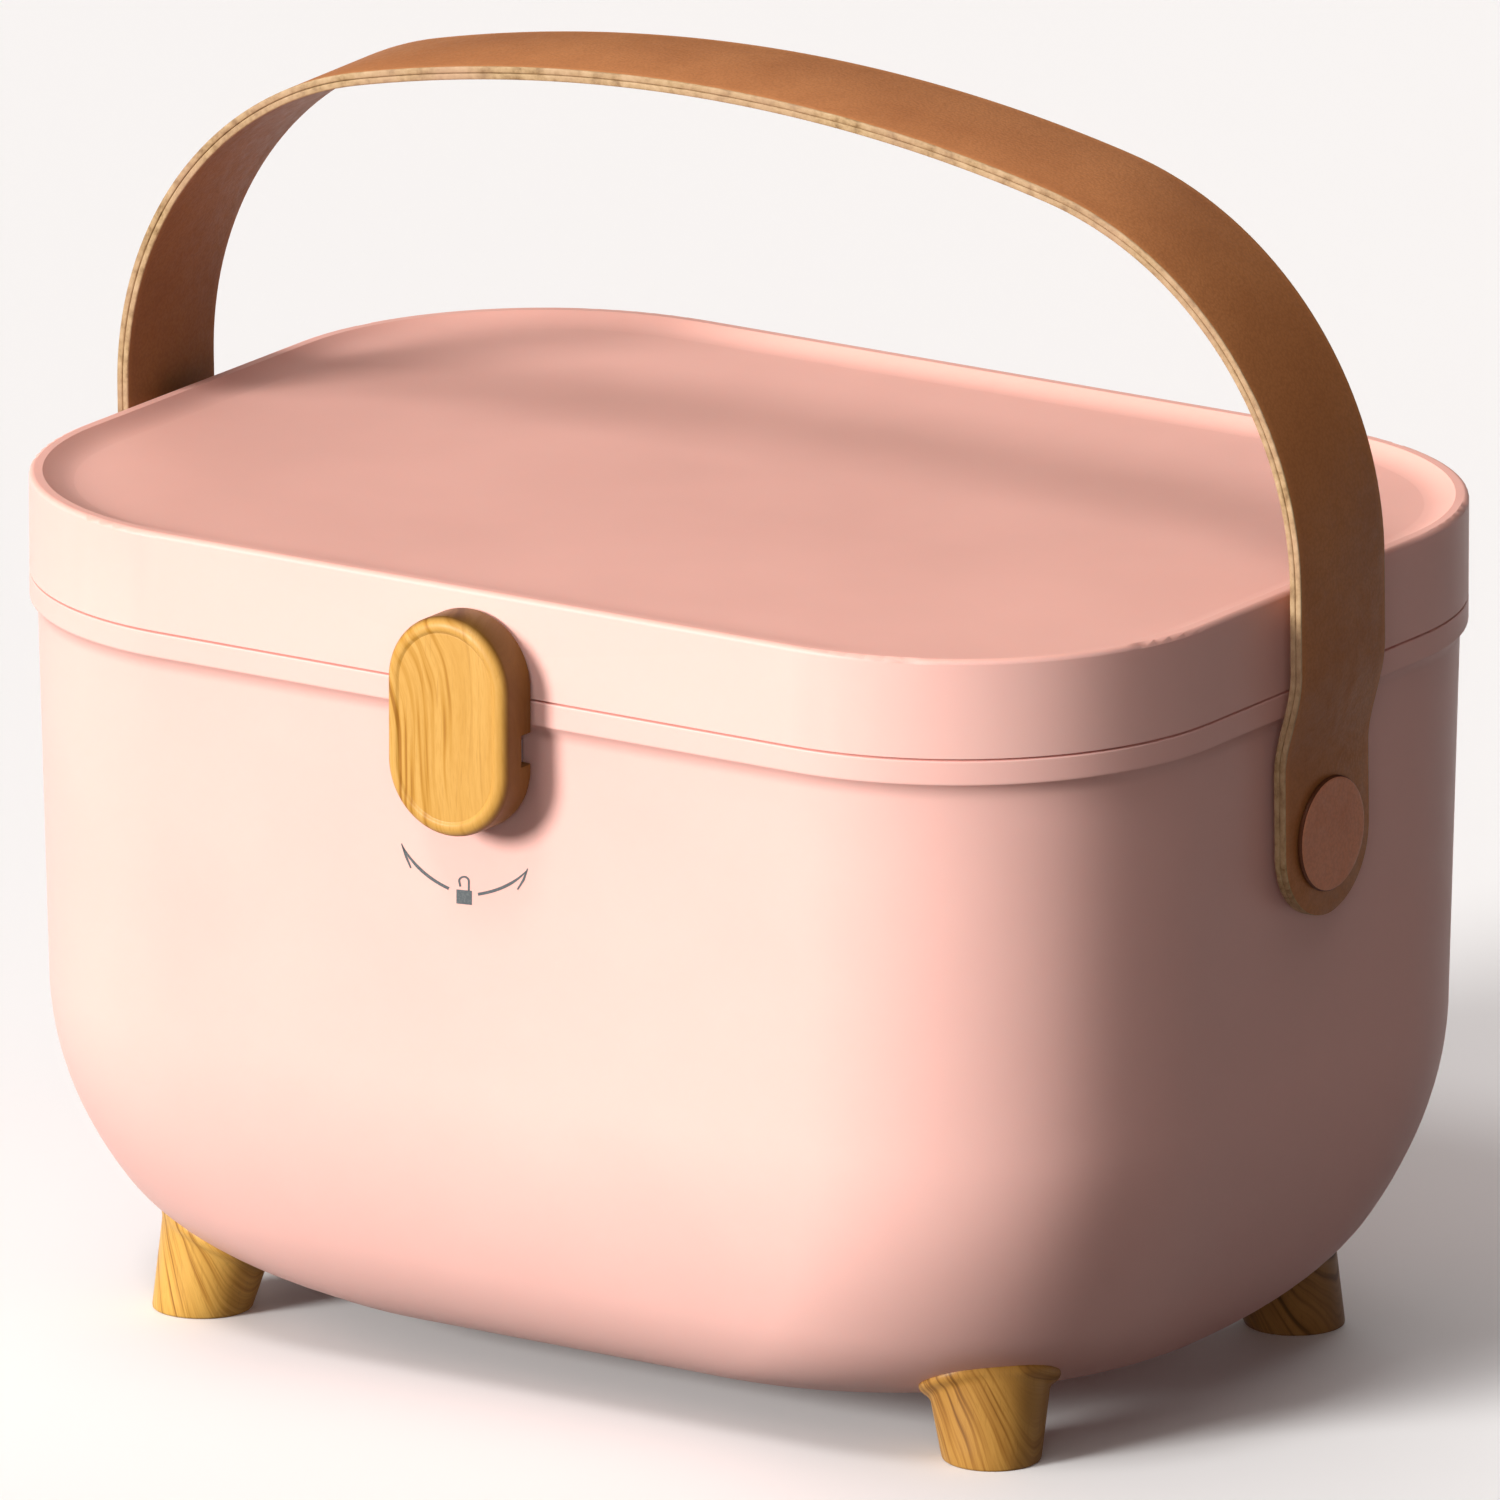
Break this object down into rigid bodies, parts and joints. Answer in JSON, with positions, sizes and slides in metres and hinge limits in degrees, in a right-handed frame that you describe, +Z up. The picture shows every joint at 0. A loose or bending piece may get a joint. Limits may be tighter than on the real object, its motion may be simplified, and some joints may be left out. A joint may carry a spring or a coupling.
{
  "type": "medicine box",
  "caption": "Rounded household medicine box on four splayed pegs, with a hinged lid, a twist latch, a swinging leather strap handle and a lift-out tray.",
  "frame": {"origin": "on the floor, under the middle of the box", "axes": "+X to the right seen from the latch, +Y to the hinges at the back, +Z up; the latch faces -Y"},
  "size_m": [0.3152, 0.2398, 0.2893],
  "materials": {
    "tub_shell": "satin",
    "lid_shell": "satin",
    "wood": "satin, grained",
    "leather": "smooth, light cut edges",
    "leather_lining": "smooth, light cut edges",
    "cap_leather": "smooth",
    "steel": "brushed",
    "tray_plastic": "matte"
  },
  "bodies": {
    "box": {"tub": "tub_shell", "hinge_pins": "steel", "latch_keeper": "steel", "keeper_screws": "steel", "foot_front_left": "wood", "foot_front_right": "wood", "foot_rear_left": "wood", "foot_rear_right": "wood", "foot_screws": "steel", "pivot_pins": "steel", "pivot_spacers": "steel", "pivot_nuts": "steel", "pivot_caps": "cap_leather", "tray": "tray_plastic", "tray_dividers": "tray_plastic", "well_divider": "tray_plastic"},
    "lid": {"lid": "lid_shell", "latch_washer": "steel"},
    "latch": {"latch_knob": "wood", "latch_face": "wood", "latch_screw": "steel"},
    "handle": {"strap_outer": "leather", "strap_inner": "leather_lining", "strap_eyelets": "steel"}
  },
  "joints": [
    {"name": "lid_hinge", "type": "hinge", "parent": "box", "child": "lid", "pos_m": [0, 0.1145, 0.17075], "axis": [-1, 0, 0], "range_deg": [0, 100], "deforming": ["strap_outer", "strap_inner"]},
    {"name": "handle_swing", "type": "hinge", "parent": "box", "child": "handle", "pos_m": [0, 0, 0.1361], "axis": [1, 0, 0], "range_deg": [-120, 120]},
    {"name": "latch_turn", "type": "hinge", "parent": "lid", "child": "latch", "pos_m": [0, -0.1095, 0.17565], "axis": [0, 1, 0], "range_deg": [-90, 90]}
  ]
}
